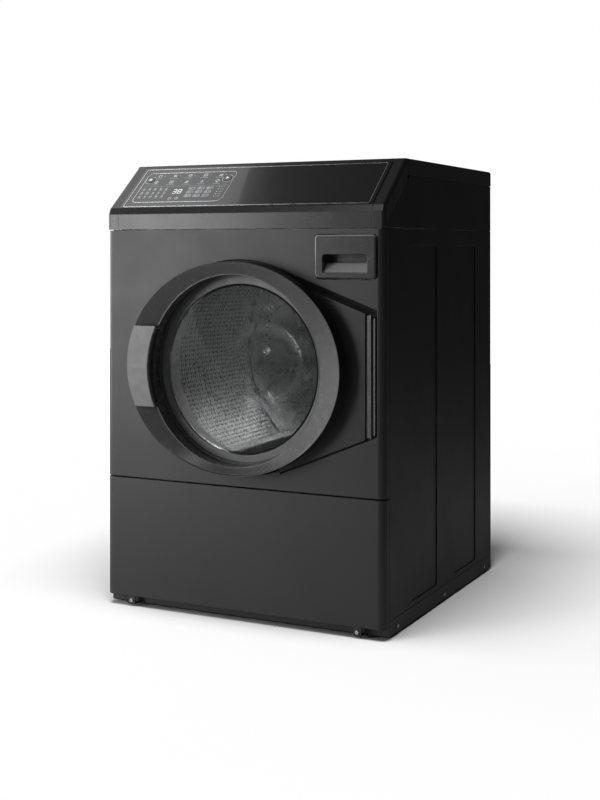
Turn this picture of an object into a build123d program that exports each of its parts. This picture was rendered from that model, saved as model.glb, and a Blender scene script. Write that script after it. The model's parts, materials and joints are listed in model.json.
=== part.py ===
from build123d import *
import os
from math import atan2, cos, degrees, hypot, radians, sin, tan

# Front-loading clothes dryer. Millimetres, +Z up, the door faces -Y.
# Every function works in the cabinet frame: X = 0 is the middle, Y = 0 the plane of the front panel,
# Z = 0 the floor. The finished pieces are moved back by front_shift, which centres the whole in Y.

# ---- cabinet ----
cabinet_width = 683.0
cabinet_depth = 690.0
cabinet_height = 1000.0
sheet = 1.2                      # steel sheet
seam = 0.8                       # gap between neighbouring covers
base_gap = 5.0                   # cabinet above the floor
base_rail_height = 32.0
front_corner_radius = 16.0
front_wrap = 22.0                # depth of the front panels' side flanges
lower_panel_bottom = 24.0
split_height = 291.0             # between the lower panel and the front panel
split_gap = 3.5
console_height = 150.0           # console band and slope together
console_seam = cabinet_height - console_height   # bottom of the console band and of the upper side strips
front_top_gap = 2.0
front_top = console_seam - front_top_gap
skirt_height = 36.5              # of the top cover
skirt_bottom = cabinet_height - skirt_height
top_edge_radius = 6.0
emboss_depth = 2.0
emboss_margin_bottom = 12.0
emboss_margin_top = 36.0
emboss_starts = (148.0, 415.0)
emboss_width = 156.0
emboss_radius = 9.0

# ---- console ----
slope_foot_y = 4.0               # where the slanted face meets the nose
slope_height = 103.0
slope_foot_z = cabinet_height - slope_height
slope_head_y = 126.0             # where it meets the top
console_wall = 3.0
nose_radius = 5.0
nose_drop = 13.0                 # nose height below the foot of the slope
end_cap_width = 29.0
end_cap_depth = 36.0
fascia_thickness = 1.6
fascia_foot = 2.0
fascia_head = 148.0
trim_line = 1.8
trim_height = 0.5
trim_inset = 8.0
cluster_left = -291.0
cluster_right = -56.0
cluster_foot = 19.5
cluster_head = 129.5
cluster_radius = 14.0
display_left = -202.0
display_width = 34.0
display_foot = 47.0
display_height = 23.0
key_radius = 11.0
key_slope_place = 103.0
key_positions = {"start_key": -73.5, "stop_key": -277.0}
key_travel = 1.0
key_proud = 1.6
key_clearance = 0.4
board_gap = 14.0
board_thickness = 1.6

# ---- door ----
door_centre_z = 548.0
rim_half_width = 259.0           # oval rim of the door shell
rim_half_height = 229.0
rim_centre_z = 550.5
door_reach = 44.0                # rim in front of the front panel
mouth_radius = 206.0             # round inner edge of the trim ring
mouth_centre_z = 545.0
mouth_front = -30.0
ring_wall = 3.0
wing_front = -6.0
wing_thickness = 10.0
wing_right = 300.0
wing_top_z = 673.0               # at the right edge
wing_bottom_z = 413.0
wing_top_slope = 0.373
wing_bottom_slope = 0.412
wing_root_x = 100.0
recess_depth = 10.0
recess_right = 324.0
recess_top_gap = 16.0
recess_bottom_gap = 4.0
recess_oval_gap = 4.0
recess_draft = 2.0
opening_radius = 214.0           # hole in the recess floor
glass_flange_radius = 200.0
glass_front = 14.0
glass_thickness = 5.0
glass_mouth_radius = 186.0
bowl_depth = 118.0
bowl_floor_radius = 92.0
bowl_corner_radius = 34.0
plug_radius = 204.0
plug_back = 34.0
cover_inset = 5.0
cover_thickness = 1.8
gasket_thickness = 3.0
handle_half_height = 89.0
handle_inner_x = -204.0
handle_face = 9.0
handle_back = -18.5
handle_wall = 2.5
handle_hook = 24.0
hinge_x = 311.0
hinge_y = -1.5
hinge_pin_radius = 1.6
knuckle_radius = 3.2
knuckle_count = 15
knuckle_gap = 0.4
leaf_thickness = 1.2
pin_clearance = 0.06

# ---- drum ----
drum_radius = 300.0
drum_sheet = 1.2
drum_front = 96.0
drum_back = 600.0
throat_radius = 208.0
throat_front = 14.0
felt_thickness = 3.6
felt_length = 16.0
running_gap = 0.3
lifter_count = 3
lifter_height = 55.0
lifter_width = 74.0
lifter_start = 118.0
lifter_end = 584.0
lifter_turn = 30.0
spoke_depth = 8.0
spoke_width = 70.0
drum_shaft_radius = 12.0
bearing_outer_radius = 26.0
bearing_clearance = 0.05
inlet_hole_radius = 5.0
inlet_rings = ((70.0, 14), (90.0, 18), (110.0, 22))

# ---- bulkheads, air path ----
front_bulkhead_y = 40.0
rear_bulkhead_y = 634.0
bulkhead_margin = 12.0
bulkhead_bottom = 46.0
front_bulkhead_top = console_seam + 28.0
rear_bulkhead_top = cabinet_height - 60.0
bulkhead_flange = 16.0
heater_inner_radius = 132.0
heater_depth = 44.0
heater_wire = 3.0
heater_turn_radii = (62.0, 84.0, 106.0)
blower_x = 180.0
blower_z = 136.0
blower_front = 104.0
blower_depth = 74.0
blower_radius = 86.0
blower_wheel_radius = 70.0
blower_blades = 24
blower_eye = 46.0
duct_radius = 50.8               # outside of the 4 in exhaust
duct_wall = 1.0
duct_x = -110.0
duct_z = 112.0
duct_stub = 12.0                 # proud of the rear panel
chute_left = 236.0
chute_right = 318.0
chute_front = 44.0
chute_back = 76.0

# ---- drive ----
motor_front = 206.0
motor_length = 150.0
motor_radius = 66.0
motor_shaft_radius = 6.0
belt_y = 400.0
belt_width = 12.0
belt_thickness = 3.0
pulley_radius = 9.0
idler_radius = 20.0
idler_x = 40.0
idler_z = 178.0
idler_pivot_x = 96.0
idler_pivot_z = 62.0
idler_pin_radius = 4.0
arm_front = 410.0
arm_thickness = 3.0
spring_x = 68.0
spring_y = 422.0
spring_top = 116.0
spring_radius = 5.0
spring_wire = 0.8
spring_turns = 12
roller_radius = 30.0
roller_width = 20.0
roller_angle = 40.0              # from straight down
roller_front = 106.0
roller_shaft_radius = 6.0
shaft_clearance = 0.06

# ---- lint drawer ----
drawer_left = 184.0
drawer_right = 323.5
drawer_drop = 14.5                # top of the drawer below the console seam
drawer_height = 91.5
drawer_top = console_seam - drawer_drop
drawer_bottom = drawer_top - drawer_height
drawer_radius = 9.0
drawer_gap = 1.5
drawer_proud = 6.0
pocket_left = 202.0
pocket_right = 304.0
pocket_bottom = drawer_bottom + 11.0
pocket_top = pocket_bottom + 40.0
pocket_depth = 26.0
tray_left = 242.0
tray_right = 316.0
tray_bottom = drawer_bottom + 9.0
tray_top = tray_bottom + 71.0
tray_back = 330.0
tray_wall = 2.0
tray_clearance = 1.0
guide_gap = 2.5
drawer_edge = 3.5

# ---- feet, screws, wiring ----
leg_x = 300.0
leg_front_y = 45.0
leg_pad_radius = 18.0
leg_stem_radius = 5.0
leg_stem_length = 46.0
leg_nut_radius = 12.0
leg_clearance = 0.08
tab_x = 278.0
screw_head_radius = 4.0
screw_head_height = 2.2
screw_shank_radius = 2.0
screw_hole_radius = 2.1
side_screw_y = (66.0, 350.0, 633.0)
side_screw_z = 18.0
toe_screw_z = 13.0
rear_screw_x = 325.0
rear_screw_z = (90.0, 350.0, 650.0, cabinet_height - 70.0)
terminal_x = 225.0
terminal_z = cabinet_height - 100.0
terminal_width = 90.0
terminal_height = 70.0
cord_hole_radius = 14.0
cord_hole_z = terminal_z - 65.0

# ---- worked out ----
half_width = cabinet_width / 2
side_front = front_wrap + 2.0
base_top = base_gap + base_rail_height
side_bottom = base_top + seam
slope_length = hypot(slope_head_y - slope_foot_y, cabinet_height - slope_foot_z)
slope_tilt = degrees(atan2(cabinet_height - slope_foot_z, slope_head_y - slope_foot_y))
slope_up = Vector(0, cos(radians(slope_tilt)), sin(radians(slope_tilt)))
slope_out = Vector(0, -sin(radians(slope_tilt)), cos(radians(slope_tilt)))
slope_foot = Vector(0, slope_foot_y, slope_foot_z)
cap_inner = half_width - end_cap_width
drum_outer = drum_radius + drum_sheet
front_shift = -(cabinet_depth + duct_stub - door_reach) / 2
roller_reach = drum_outer + running_gap + roller_radius


def block(x0, x1, y0, y1, z0, z1):
    """A box between two corners."""
    return Pos((x0 + x1) / 2, (y0 + y1) / 2, (z0 + z1) / 2) * Box(x1 - x0, y1 - y0, z1 - z0)


def rod_y(x, z, radius, y0, y1):
    """A cylinder along Y."""
    return Pos(x, (y0 + y1) / 2, z) * Rot(90, 0, 0) * Cylinder(radius, y1 - y0)


def pipe_y(x, z, outer, inner, y0, y1):
    """A tube along Y."""
    return rod_y(x, z, outer, y0, y1) - rod_y(x, z, inner, y0 - 1, y1 + 1)


def plate_y(outline, y0, y1):
    """An outline drawn in X and Z, as a plate from y0 to y1."""
    return extrude(Plane.XZ.offset(-y0) * outline, amount=-(y1 - y0))


def plate_x(outline, x0, x1):
    """An outline drawn in Y and Z, as a plate from x0 to x1."""
    return extrude(Plane.YZ.offset(x0) * outline, amount=x1 - x0)


def outline(*points):
    return make_face(Polyline(*points, close=True))


def rounded(left, right, bottom, top, radius):
    """A rounded rectangle drawn in X and Z."""
    return Pos((left + right) / 2, (bottom + top) / 2) * RectangleRounded(right - left, top - bottom, radius)


def on_slope(shape, height):
    """Puts a sketch (x, distance up the slope) on the slanted face, raised by height."""
    origin = slope_foot + slope_out * height
    return Plane(origin=origin, x_dir=(1, 0, 0), z_dir=slope_out) * shape


def slope_plate(shape, low, high):
    return extrude(on_slope(shape, low), amount=high - low)


# ---- covers ----
def side_panel(side):
    """One side of the cabinet: a sheet with two pressed fields and a front flange."""
    inner = half_width - sheet
    panel = block(inner, half_width, side_front, cabinet_depth - sheet - seam, side_bottom, console_seam)
    panel += block(half_width - 18, half_width, side_front, side_front + sheet, side_bottom, console_seam)
    low = side_bottom + emboss_margin_bottom
    high = console_seam - emboss_margin_top
    for start in emboss_starts:
        field = rounded(start, start + emboss_width, low, high, emboss_radius)
        panel += plate_x(offset(field, sheet), inner - emboss_depth, inner)
        panel -= plate_x(field, half_width - emboss_depth, half_width + 1)
    return panel if side > 0 else mirror(panel, Plane.YZ)


def slope_point(up, depth):
    """(y, z) of a point on the slope, depth behind its face."""
    point = slope_foot + slope_up * up - slope_out * depth
    return (point.Y, point.Z)


def upper_side_panels():
    """The strips between the side panels and the top cover, one each side."""
    gap_depth = end_cap_depth + seam
    foot_y = slope_foot_y + (console_seam + seam - slope_foot_z) / tan(radians(slope_tilt))
    along = gap_depth / sin(radians(slope_tilt))
    low_y = foot_y + along
    high_y = slope_foot_y + (skirt_bottom - seam - slope_foot_z) / tan(radians(slope_tilt)) + along
    rear = cabinet_depth - sheet - seam
    shape = outline((low_y, console_seam + seam), (rear, console_seam + seam),
                    (rear, skirt_bottom - seam), (high_y, skirt_bottom - seam))
    strip = plate_x(shape, half_width - sheet, half_width)
    return strip + mirror(strip, Plane.YZ)


def top_cover():
    """A lid with a skirt, rounded along its sides and rear."""
    front = slope_head_y + seam
    lid = block(-half_width, half_width, front, cabinet_depth, skirt_bottom, cabinet_height)
    long_edges = lid.edges().filter_by(Axis.Y).sort_by(Axis.Z)[-2:]
    rear_edge = lid.edges().filter_by(Axis.X).group_by(Axis.Z)[-1].sort_by(Axis.Y)[-1]
    lid = fillet(long_edges + [rear_edge], top_edge_radius)
    hollow = block(-half_width + sheet, half_width - sheet, front - 1, cabinet_depth - sheet,
                   skirt_bottom - 1, cabinet_height - sheet)
    inner_edges = hollow.edges().filter_by(Axis.Y).sort_by(Axis.Z)[-2:]
    inner_rear = hollow.edges().filter_by(Axis.X).group_by(Axis.Z)[-1].sort_by(Axis.Y)[-1]
    return lid - fillet(inner_edges + [inner_rear], top_edge_radius - sheet)


def wrapped_panel(bottom, top):
    """A front sheet whose rounded sides wrap back towards the side panels."""
    outer = block(-half_width, half_width, 0, front_wrap, bottom, top)
    outer = fillet(outer.edges().filter_by(Axis.Z).sort_by(Axis.Y)[:2], front_corner_radius)
    inner = block(-half_width + sheet, half_width - sheet, sheet, front_wrap + 1, bottom + sheet, top - sheet)
    inner = fillet(inner.edges().filter_by(Axis.Z).sort_by(Axis.Y)[:2], front_corner_radius - sheet)
    return outer - inner


def wing_lines(top_grow, bottom_grow):
    """Heights of the wing's two long edges at its root and its right edge, moved outwards."""
    run = wing_right - wing_root_x
    top_root = wing_top_z + wing_top_slope * run
    bottom_root = wing_bottom_z - wing_bottom_slope * run
    return (top_root + top_grow, wing_top_z + top_grow,
            bottom_root - bottom_grow, wing_bottom_z - bottom_grow)


def door_outline(grow, top_grow, bottom_grow, right):
    """The oval of the door and its wing towards the hinge, as one face."""
    top_root, top_tip, bottom_root, bottom_tip = wing_lines(top_grow, bottom_grow)
    reach = (right - wing_right)
    top_end = top_tip - wing_top_slope * reach
    bottom_end = bottom_tip + wing_bottom_slope * reach
    wedge = outline((wing_root_x, bottom_root), (right, bottom_end),
                    (right, top_end), (wing_root_x, top_root))
    oval = Pos(0, rim_centre_z) * Ellipse(rim_half_width + grow, rim_half_height + grow)
    return oval + wedge


def recess_body(extra):
    """The pressed recess around the door, grown by extra; its walls slope, most of all the top one."""
    front = door_outline(recess_oval_gap + extra, recess_top_gap + extra, recess_bottom_gap + extra,
                         recess_right + extra)
    floor = door_outline(recess_oval_gap - recess_draft + extra, recess_draft + extra,
                         recess_bottom_gap - recess_draft / 2 + extra, recess_right - recess_draft + extra)
    walls = loft([Plane.XZ * front, Plane.XZ.offset(-recess_depth - extra) * floor], ruled=True)
    return walls + plate_y(front, -1, 0)


def front_panel():
    """The door panel: rounded sheet, recess for the door and its wing, drawer opening."""
    panel = wrapped_panel(split_height + split_gap / 2, front_top)
    tray = recess_body(sheet) & block(-half_width, half_width, 0, recess_depth + 5, split_height, front_top)
    panel += tray
    panel -= recess_body(0)
    panel -= rod_y(0, door_centre_z, opening_radius, -2, recess_depth + 5)
    hole = rounded(drawer_left - drawer_gap, drawer_right + drawer_gap, drawer_bottom - drawer_gap,
                   drawer_top + drawer_gap, drawer_radius + drawer_gap)
    return panel - plate_y(hole, -2, sheet + 1)


def lower_panel():
    return wrapped_panel(lower_panel_bottom, split_height - split_gap / 2)


def base_frame():
    """The tray under the machine: side rails, toe plate, cross rails, leg nuts and two toe tabs."""
    outer = block(-half_width, half_width, side_front, cabinet_depth - sheet - seam, base_gap, base_top)
    inner = block(-half_width + 2 * sheet, half_width - 2 * sheet, side_front + 2 * sheet,
                  cabinet_depth - 3 * sheet - seam, base_gap - 1, base_top - sheet)
    frame = outer - inner
    window = block(-half_width + 60, half_width - 60, 100, cabinet_depth - 60, base_top - 5, base_top + 1)
    rail = block(-half_width + 60, half_width - 60, 200, 390, base_top - sheet, base_top)
    frame = frame - window + rail
    for x in (-leg_x, leg_x):
        for y in (leg_front_y, cabinet_depth - leg_front_y):
            frame += Pos(x, y, (base_gap + 1 + base_top) / 2) * Cylinder(leg_nut_radius, base_rail_height - 1)
            hole = Cylinder(leg_stem_radius + leg_clearance, 2 * leg_stem_length)
            frame -= Pos(x, y, base_top) * hole
    for x in (-tab_x, tab_x):
        frame += block(x - 9, x + 9, 3, side_front + 1, base_gap + 1, base_gap + 3)
        frame += block(x - 9, x + 9, 3, 5, base_gap + 1, lower_panel_bottom)
        frame -= rod_y(x, toe_screw_z, screw_hole_radius, 2, 12)
    for y in side_screw_y:
        frame -= Pos(0, y, side_screw_z) * Rot(0, 90, 0) * Cylinder(screw_hole_radius, cabinet_width + 2)
    return frame


def rear_panel():
    """The back sheet: exhaust hole, air louvres, cord hole and terminal opening."""
    half = half_width - sheet - seam
    back = cabinet_depth
    panel = block(-half, half, back - sheet, back, base_top + seam, skirt_bottom - seam)
    panel -= rod_y(duct_x, duct_z, duct_radius + 1, back - 5, back + 1)
    panel -= rod_y(terminal_x, cord_hole_z, cord_hole_radius, back - 5, back + 1)
    for column in (-150.0, 0.0, 150.0):
        for row in range(6):
            z = 480.0 + 22 * row
            panel -= block(column - 50, column + 50, back - 5, back + 1, z, z + 6)
    for x, z in rear_screw_places():
        panel -= rod_y(x, z, screw_hole_radius, back - 5, back + 1)
    return panel


def console_profile(inset):
    """Section of the console in Y and Z, inset from its outer face."""
    nose_z = slope_foot_z - nose_drop
    head = slope_point(slope_length - 1 - 2 * inset, inset)
    foot = slope_point(2, inset)
    return outline((inset, console_seam + inset), (inset, nose_z), foot, head,
                   (slope_head_y, head[1]), (slope_head_y, console_seam + inset))


def console_section(inset, width):
    """The console's outside: vertical band, rounded nose, slanted face."""
    body = extrude(Plane.YZ.offset(-width) * console_profile(inset), amount=2 * width)
    front_edges = body.edges().filter_by(Axis.X).sort_by(Axis.Y)[:3]
    nose = [edge for edge in front_edges if edge.center().Z > console_seam + 10]
    return fillet(nose, nose_radius - inset)


def console_housing():
    """The band and slanted frame between the end caps, open at the back."""
    width = cap_inner - 0.4
    shell = console_section(0, width) - block(-width - 1, width + 1, front_bulkhead_y - 1, 200, 800, 1100)
    shell += slope_plate(Rectangle(2 * width, slope_length - 4).moved(Location((0, slope_length / 2))),
                         -console_wall, 0)
    cavity = console_section(console_wall, width - console_wall)
    shell -= cavity
    shell -= block(-width - 1, width + 1, console_wall, 200,
                   console_seam - 1, console_seam + console_wall + 1)
    for name, x in key_positions.items():
        bore = Pos(x, key_slope_place) * Circle(key_radius + key_clearance)
        shell -= slope_plate(bore, -console_wall - 2, 2)
    return shell


def end_cap(side):
    """A slanted cap at one end of the console, with a rounded front corner."""
    solid = console_section(0, half_width)
    foot_low = slope_point(-90, end_cap_depth)
    head_low = slope_point(slope_length + 60, end_cap_depth)
    above = outline(foot_low, head_low,
                    (head_low[0] - 200, head_low[1] + 200), (foot_low[0] - 200, foot_low[1] + 200))
    solid = solid & extrude(Plane.YZ.offset(-half_width) * above, amount=2 * half_width)
    solid = solid & block(cap_inner, half_width, -5, slope_head_y - seam, console_seam, cabinet_height)
    corner = solid.edges().filter_by(Axis.Z).sort_by(Axis.Y)[:2].sort_by(Axis.X)[-1]
    solid = fillet(corner, front_corner_radius / 2)
    return solid if side > 0 else mirror(solid, Plane.YZ)


def control_fascia():
    """The glossy sheet on the slope, with holes for the two keys and the display."""
    half = cap_inner - 1.0
    sheet_shape = Pos(0, (fascia_foot + fascia_head) / 2) * Rectangle(2 * half, fascia_head - fascia_foot)
    for x in key_positions.values():
        sheet_shape -= Pos(x, key_slope_place) * Circle(key_radius + key_clearance)
    sheet_shape -= display_outline(0.1)
    return slope_plate(sheet_shape, 0, fascia_thickness)


def display_outline(grow):
    centre = Pos(display_left + display_width / 2, display_foot + display_height / 2)
    return centre * RectangleRounded(display_width + 2 * grow, display_height + 2 * grow, 2)


def display_window():
    return slope_plate(display_outline(0), 0, fascia_thickness)


def line_frame(left, right, foot, head, radius):
    """A thin rounded frame on the fascia."""
    outer = rounded(left, right, foot, head, radius)
    inner = rounded(left + trim_line, right - trim_line,
                    foot + trim_line, head - trim_line, radius - trim_line)
    return slope_plate(outer - inner, fascia_thickness, fascia_thickness + trim_height)


def fascia_trim():
    """The long silver frame and the smaller one around the keys."""
    half = cap_inner - trim_inset
    long_frame = line_frame(-half, half, fascia_foot + 2, fascia_head - 4, 6)
    return long_frame + line_frame(cluster_left, cluster_right, cluster_foot, cluster_head, cluster_radius)


def key(x):
    """A round key through the fascia, with a retaining flange behind the housing."""
    centre = Pos(x, key_slope_place)
    behind = -console_wall - key_travel - 0.6
    cap = slope_plate(centre * Circle(key_radius), behind - 1.5, fascia_thickness + key_proud)
    rim = slope_plate(centre * Circle(key_radius + 2), behind - 1.5, behind)
    return fillet(cap.edges().sort_by(Axis.Z)[-1:], 0.6) + rim


def control_board():
    """The circuit board behind the slope, with its switches and display module, on two rails."""
    shape = rounded(cluster_left - 4, cluster_right + 4, cluster_foot, cluster_head, 3)
    low = -board_gap - board_thickness
    board = slope_plate(shape, low, -board_gap)
    board += slope_plate(display_outline(1), -board_gap, -console_wall - 1)
    for x in key_positions.values():
        board += slope_plate(Pos(x, key_slope_place) * Rectangle(9, 9), -board_gap, -console_wall - 4.5)
    for x in (cluster_left + 20, (cluster_left + cluster_right) / 2 + 20, cluster_right - 20):
        post = Pos(x, cluster_foot + 6) * Circle(3)
        board += slope_plate(post, -board_gap, -console_wall)
    return board


# ---- door ----
def rim_oval(grow):
    return Pos(0, rim_centre_z) * Ellipse(rim_half_width + grow, rim_half_height + grow)


def door_outer_panel():
    """The door shell: oval skirt and the flat wing that reaches the hinge."""
    back = wing_front + wing_thickness
    body = plate_y(door_outline(0, 0, 0, wing_right), wing_front, back)
    body += plate_y(rim_oval(0), -door_reach + 2, back - 2)
    cavity = plate_y(rim_oval(-ring_wall), -door_reach, back - ring_wall)
    body -= cavity
    body -= rod_y(0, mouth_centre_z, plug_radius + 4, -door_reach, back + 1)
    wing_hollow = door_outline(-ring_wall, -ring_wall, -ring_wall, wing_right - ring_wall)
    body -= plate_y(wing_hollow - rim_oval(2), wing_front + ring_wall, back + 1)
    return body


def door_trim_ring():
    """The dished band between the oval rim and the round mouth, with the mouth's inner wall."""
    mouth = Pos(0, mouth_centre_z) * Circle(mouth_radius)
    front_face = Plane.XZ.offset(door_reach) * rim_oval(0)
    dish = loft([front_face, Plane.XZ.offset(-mouth_front) * mouth], ruled=True)
    body = plate_y(rim_oval(0), -door_reach, -door_reach + 2)
    body += plate_y(rim_oval(-ring_wall - 0.3), -door_reach + 1, mouth_front + 4)
    body -= dish
    body += pipe_y(0, mouth_centre_z, mouth_radius + 2, mouth_radius,
                   mouth_front - 1, wing_front + wing_thickness)
    body -= rod_y(0, mouth_centre_z, mouth_radius, -door_reach - 1, glass_front)
    gap = handle_zone(0.5)
    return body - gap


def handle_zone(grow):
    """The block of space that the handle insert takes at the left of the ring."""
    return block(-rim_half_width - 5, handle_inner_x + 20 + grow, -door_reach - 1, handle_back + grow,
                 door_centre_z - handle_half_height - grow, door_centre_z + handle_half_height + grow)


def door_handle():
    """The handle insert: a flat face level with the rim, hollowed from the mouth side for the fingers."""
    face = rim_oval(0) - Pos(0, mouth_centre_z) * Circle(-handle_inner_x)
    inside = rim_oval(-ring_wall - 0.3) - Pos(0, mouth_centre_z) * Circle(-handle_inner_x)
    body = plate_y(face, -door_reach, -door_reach + 2) + plate_y(inside, -door_reach + 1, handle_back)
    body = body & handle_zone(0)
    grip = rim_oval(-handle_hook) - Pos(0, mouth_centre_z) * Circle(mouth_radius - 20)
    hollow = plate_y(grip, -door_reach + handle_face, handle_back - handle_wall)
    hollow = hollow & block(-rim_half_width, 0, -door_reach, 0, door_centre_z - handle_half_height + 8,
                            door_centre_z + handle_half_height - 8)
    body -= hollow
    edge = body.edges().filter_by(GeomType.CIRCLE).group_by(Axis.Y)[0]
    return fillet(edge, 3)


def door_inner_panel():
    """The back of the door: a flat cover, the plug that fits the throat, and the catch plate."""
    cover = door_outline(-cover_inset, -cover_inset, -cover_inset, wing_right - cover_inset)
    cover -= Pos(0, mouth_centre_z) * Circle(plug_radius - 2)
    low = wing_front + wing_thickness + 0.2
    panel = plate_y(cover, low, low + cover_thickness)
    panel += pipe_y(0, mouth_centre_z, plug_radius, glass_flange_radius + 1, ring_wall - 0.8, plug_back)
    seat = glass_front + glass_thickness
    panel += pipe_y(0, mouth_centre_z, plug_radius, glass_mouth_radius + 2, seat, seat + 4)
    panel += block(-plug_radius + 1, -plug_radius + 10, seat + 3, plug_back,
                   mouth_centre_z - 12, mouth_centre_z + 12)
    return panel


def door_glass():
    """The glass bowl: flange, tapered wall and flat floor, blown in one piece."""
    t = glass_thickness
    floor_y = glass_front + bowl_depth
    profile = [(0, floor_y - t), (0, floor_y), (bowl_floor_radius, floor_y),
               (glass_mouth_radius, glass_front + t),
               (glass_flange_radius, glass_front + t), (glass_flange_radius, glass_front),
               (glass_mouth_radius - t, glass_front), (bowl_floor_radius - t, floor_y - t)]
    face = make_face(Polyline(*profile, close=True))
    outer = [v for v in face.vertices() if abs(v.X - bowl_floor_radius) < 0.1]
    face = fillet(outer, bowl_corner_radius)
    inner = [v for v in face.vertices() if abs(v.X - bowl_floor_radius + t) < 0.1]
    face = fillet(inner, bowl_corner_radius - t)
    return Pos(0, 0, mouth_centre_z) * revolve(face, axis=Axis.Y)


def door_gasket():
    """The grey ring that clamps the glass flange."""
    return pipe_y(0, mouth_centre_z, glass_flange_radius + 0.8, glass_mouth_radius,
                  glass_front - gasket_thickness, glass_front)


def knuckles(first):
    """Every other knuckle of the piano hinge."""
    top = wing_top_z - 2
    bottom = wing_bottom_z + 2
    pitch = (top - bottom) / knuckle_count
    body = None
    for i in range(first, knuckle_count, 2):
        z = bottom + pitch * i
        ring = Pos(hinge_x, hinge_y, z + pitch / 2) * Cylinder(knuckle_radius, pitch - knuckle_gap)
        body = ring if body is None else body + ring
    return body, bottom, top, pitch


def hinge_leaf(first, leaf, clearance):
    """A leaf with its knuckles; the leaf stays clear of the other leaf's knuckles."""
    rings, bottom, top, pitch = knuckles(first)
    for i in range(1 - first, knuckle_count, 2):
        z = bottom + pitch * i
        notch = Pos(hinge_x, hinge_y, z + pitch / 2) * Cylinder(knuckle_radius + 0.4, pitch)
        leaf -= notch
    bore = Pos(hinge_x, hinge_y, (bottom + top) / 2) * Cylinder(hinge_pin_radius + clearance, top - bottom + 2)
    return leaf + rings - bore


def hinge_door_leaf():
    low, high = wing_bottom_z + 4, wing_top_z - 4
    leaf = block(wing_right, hinge_x - 1, hinge_y - leaf_thickness / 2, hinge_y + leaf_thickness / 2, low, high)
    leaf += block(wing_right, wing_right + leaf_thickness,
                  hinge_y - 1, wing_front + wing_thickness, low, high)
    return hinge_leaf(0, leaf, pin_clearance)


def hinge_frame_leaf():
    low, high = wing_bottom_z + 9, wing_top_z - 10
    edge = recess_right - 4.2
    front = hinge_y + 1.2
    leaf = block(hinge_x + 1, edge, front, front + leaf_thickness, low, high)
    leaf += block(edge - leaf_thickness, edge, front, recess_depth, low, high)
    return hinge_leaf(1, leaf, 0)


def hinge_pin():
    length = wing_top_z - wing_bottom_z - 4
    return Pos(hinge_x, hinge_y, (wing_top_z + wing_bottom_z) / 2) * Cylinder(hinge_pin_radius, length)


# ---- drum and bulkheads ----
def drum_cylinder():
    """The turning wall with its front flange and collar."""
    inner = throat_radius + sheet + felt_thickness + running_gap * 2
    wall = pipe_y(0, door_centre_z, drum_outer, drum_radius, drum_front, drum_back)
    flange = pipe_y(0, door_centre_z, drum_radius + 0.5, inner, drum_front, drum_front + drum_sheet)
    collar = pipe_y(0, door_centre_z, inner + drum_sheet, inner,
                    drum_front - felt_length, drum_front + drum_sheet)
    return wall + flange + collar


def drum_rear_head():
    """The back of the drum: three pressed spokes, rings of air holes, and the shaft."""
    head = rod_y(0, door_centre_z, drum_radius, drum_back - drum_sheet, drum_back)
    for i in range(3):
        spoke = Pos(drum_radius * 0.52, 0) * RectangleRounded(drum_radius * 0.8, spoke_width, 20)
        arm = plate_y(Rot(0, 0, 90 + 120 * i) * spoke, drum_back - drum_sheet, drum_back + spoke_depth)
        hollow = plate_y(Rot(0, 0, 90 + 120 * i) * offset(spoke, -2),
                         drum_back - 5, drum_back + spoke_depth - 2)
        head += Pos(0, 0, door_centre_z) * arm
        head -= Pos(0, 0, door_centre_z) * hollow
    head += rod_y(0, door_centre_z, 56, drum_back - drum_sheet, drum_back + spoke_depth)
    for ring_radius, count in inlet_rings:
        clear = degrees((spoke_width / 2 + 2 * inlet_hole_radius) / ring_radius)
        for i in range(count):
            angle = 360 * i / count
            from_spoke = abs((angle - 90 + 60) % 120 - 60)
            if from_spoke > clear:
                x = ring_radius * cos(radians(angle))
                z = door_centre_z + ring_radius * sin(radians(angle))
                head -= rod_y(x, z, inlet_hole_radius, drum_back - 10, drum_back + 20)
    return head + rod_y(0, door_centre_z, drum_shaft_radius, drum_back, rear_bulkhead_y + 22)


def lifter_section(inset):
    """Section of one vane standing on the drum wall, inset by its wall."""
    half = lifter_width / 2 - inset
    tip = half * 0.3
    height = lifter_height - inset
    foot = 0 if inset == 0 else -inset
    shape = outline((-half, foot), (half, foot), (tip, height), (-tip, height))
    return Pos(0, -drum_radius + 1) * shape


def drum_lifters():
    """Three hollow vanes along the drum wall."""
    vane = plate_y(lifter_section(0) & Circle(drum_radius - 0.02), lifter_start, lifter_end)
    crest = vane.edges().filter_by(Axis.Y).sort_by(Axis.Z)[-2:]
    vane = fillet(crest, 9)
    hollow = plate_y(lifter_section(3), lifter_start + 3, lifter_end - 3)
    vane -= hollow
    vanes = None
    for i in range(lifter_count):
        placed = Pos(0, 0, door_centre_z) * Rot(0, lifter_turn + 360 / lifter_count * i, 0) * vane
        vanes = placed if vanes is None else vanes + placed
    return vanes


def bulkhead_plate(y, top):
    """A sheet across the cabinet with a flange all round."""
    half = half_width - bulkhead_margin
    outer = block(-half, half, y, y + bulkhead_flange, bulkhead_bottom, top)
    inner = block(-half + sheet, half - sheet, y + sheet, y + bulkhead_flange + 1,
                  bulkhead_bottom + sheet, top - sheet)
    return outer - inner


def lamp_block(grow):
    low = door_centre_z + throat_radius - 1
    return block(-24 - grow, 24 + grow, 56 - grow, 72 + grow, low, low + 21)


def front_bulkhead():
    """The front wall inside, with the cut-outs of the throat and the lint tray."""
    wall = bulkhead_plate(front_bulkhead_y, front_bulkhead_top)
    wall -= rod_y(0, door_centre_z, throat_radius + sheet, front_bulkhead_y - 5, front_bulkhead_y + 5)
    wall -= block(tray_left - guide_gap - 1, tray_right + guide_gap + 1, front_bulkhead_y - 1,
                  front_bulkhead_y + sheet + 0.1, tray_bottom - guide_gap - 2, tray_top + guide_gap + 2)
    return wall - lamp_block(0)


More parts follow.
